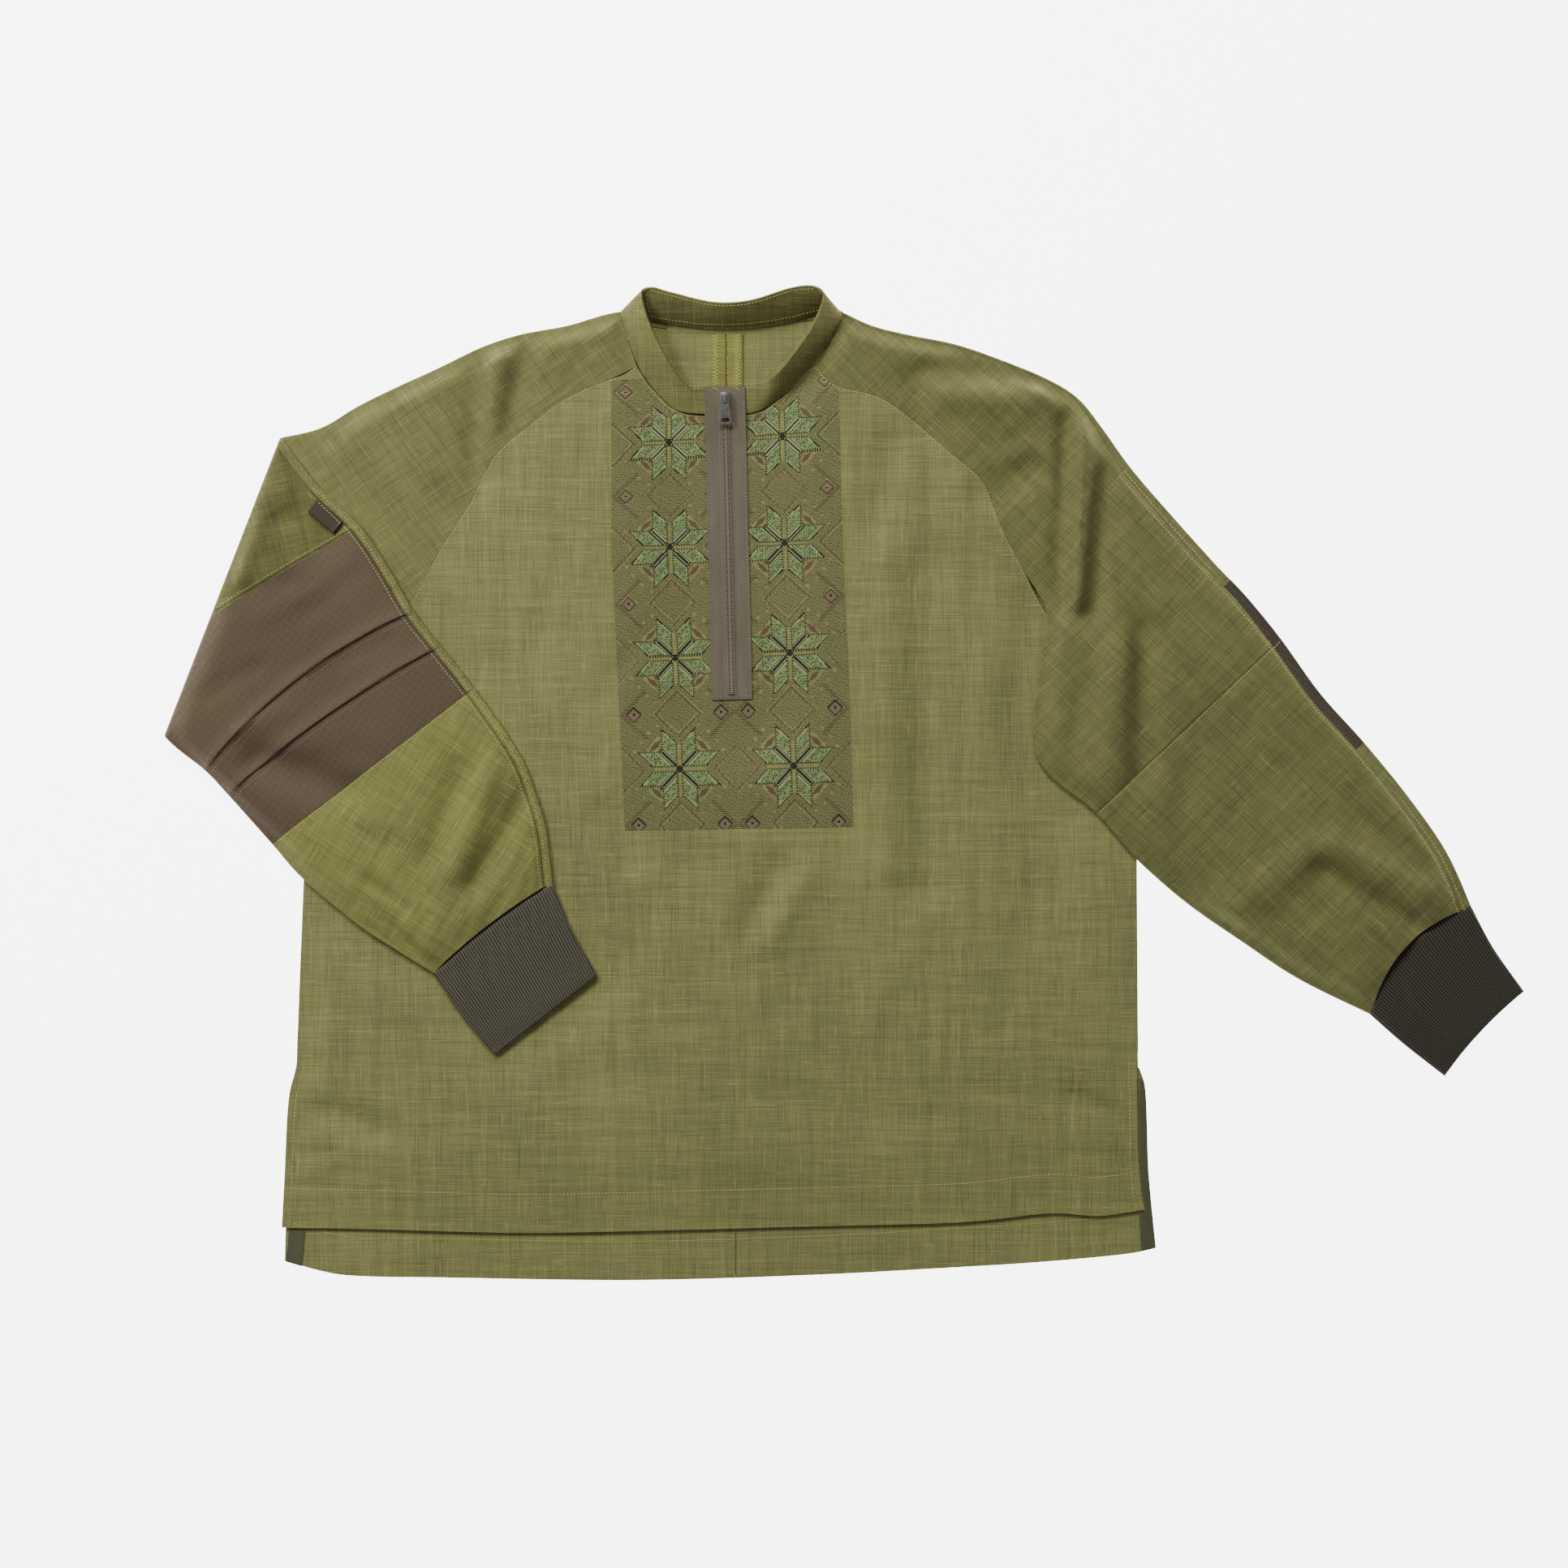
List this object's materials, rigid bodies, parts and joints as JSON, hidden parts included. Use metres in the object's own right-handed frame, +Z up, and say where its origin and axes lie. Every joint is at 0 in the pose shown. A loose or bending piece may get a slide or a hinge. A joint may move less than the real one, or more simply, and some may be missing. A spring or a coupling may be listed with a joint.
{
  "type": "shirt",
  "caption": "Linen pullover shirt laid flat, with a zip neck, stand collar, raglan sleeves, elbow patches, ribbed cuffs and a tonal embroidered front panel.",
  "frame": {"origin": "on the floor under the middle of the whole outline", "axes": "+Y towards the collar, +X towards the sleeve that lies out to the side, +Z up from the floor"},
  "size_m": [1.0542, 0.7699, 0.0213],
  "materials": {
    "linen": "plain olive linen",
    "ripstop": "brown ripstop",
    "rib_knit": "dark ribbed knit",
    "zip_tape": "woven tape",
    "coil": "nylon coil",
    "zip_metal": "dark plated metal",
    "webbing": "brown webbing",
    "herringbone": "dark green herringbone tape"
  },
  "bodies": {
    "shirt": {"front": "linen", "back_left": "linen", "back_right": "linen", "back_allowance_left": "linen", "back_allowance_right": "linen", "left_sleeve_front": "linen", "left_forearm_front": "linen", "left_sleeve_back": "linen", "left_forearm_back": "linen", "right_sleeve_front": "linen", "right_forearm_front": "linen", "right_sleeve_back": "linen", "right_forearm_back": "linen", "collar_band": "linen", "left_elbow_patch": "ripstop", "right_elbow_patch": "ripstop", "left_cuff": "rib_knit", "right_cuff": "rib_knit", "zip_tape_left": "zip_tape", "zip_tape_right": "zip_tape", "zip_coil": "coil", "zip_slider": "zip_metal", "webbing_loop": "webbing", "vent_facing_left": "herringbone", "vent_facing_right": "herringbone"},
    "pull_tab": {"zip_pull_tab": "zip_metal"}
  },
  "joints": [
    {"name": "pull_tab_hinge", "type": "hinge", "parent": "shirt", "child": "pull_tab", "pos_m": [-0.09252, 0.30035, 0.01221], "axis": [-0.9997, -0.0239, 0], "range_deg": [0, 150]}
  ]
}
